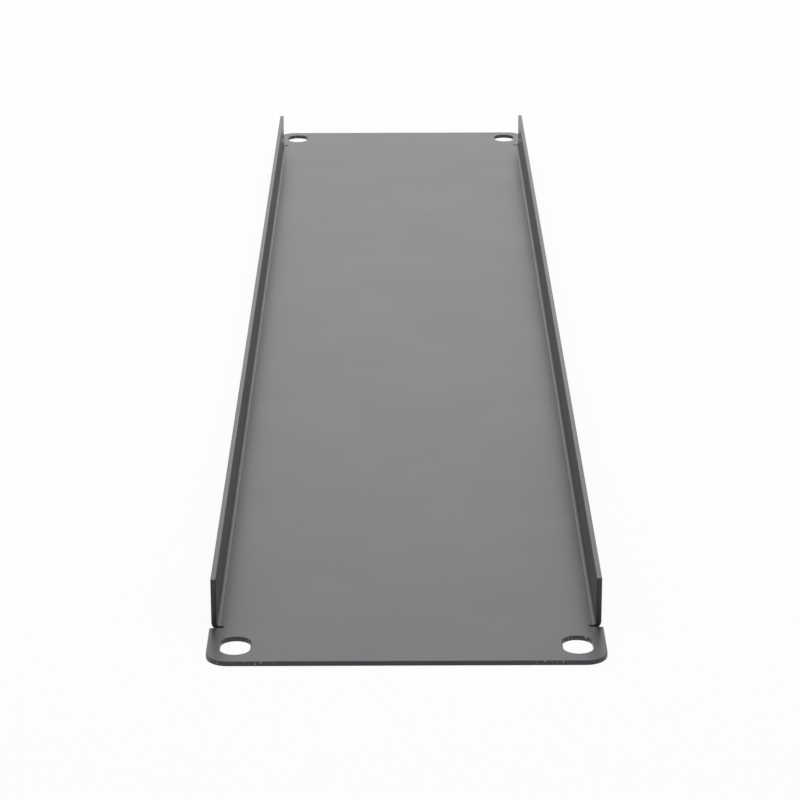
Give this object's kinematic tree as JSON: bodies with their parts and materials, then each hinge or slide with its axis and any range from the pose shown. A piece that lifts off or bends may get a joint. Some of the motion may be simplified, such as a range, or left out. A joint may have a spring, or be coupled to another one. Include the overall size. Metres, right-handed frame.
{
  "type": "rack blanking panel",
  "caption": "Flat sheet panel with return flanges along its long sides and slotted ears at its ends, screwed across a rack to close off empty units.",
  "frame": {"origin": "centre of the front face, the flat face that shows when the panel is in the rack", "axes": "+X along the panel, across the rack; +Y across the panel, up the rack; +Z from the front face to the back, the way the flanges stand"},
  "size_m": [0.4826, 0.0888, 0.0125],
  "materials": {
    "powder_coat": "black satin powder coat with a fine orange-peel texture"
  },
  "bodies": {
    "root": {"panel": "powder_coat"}
  },
  "joints": []
}
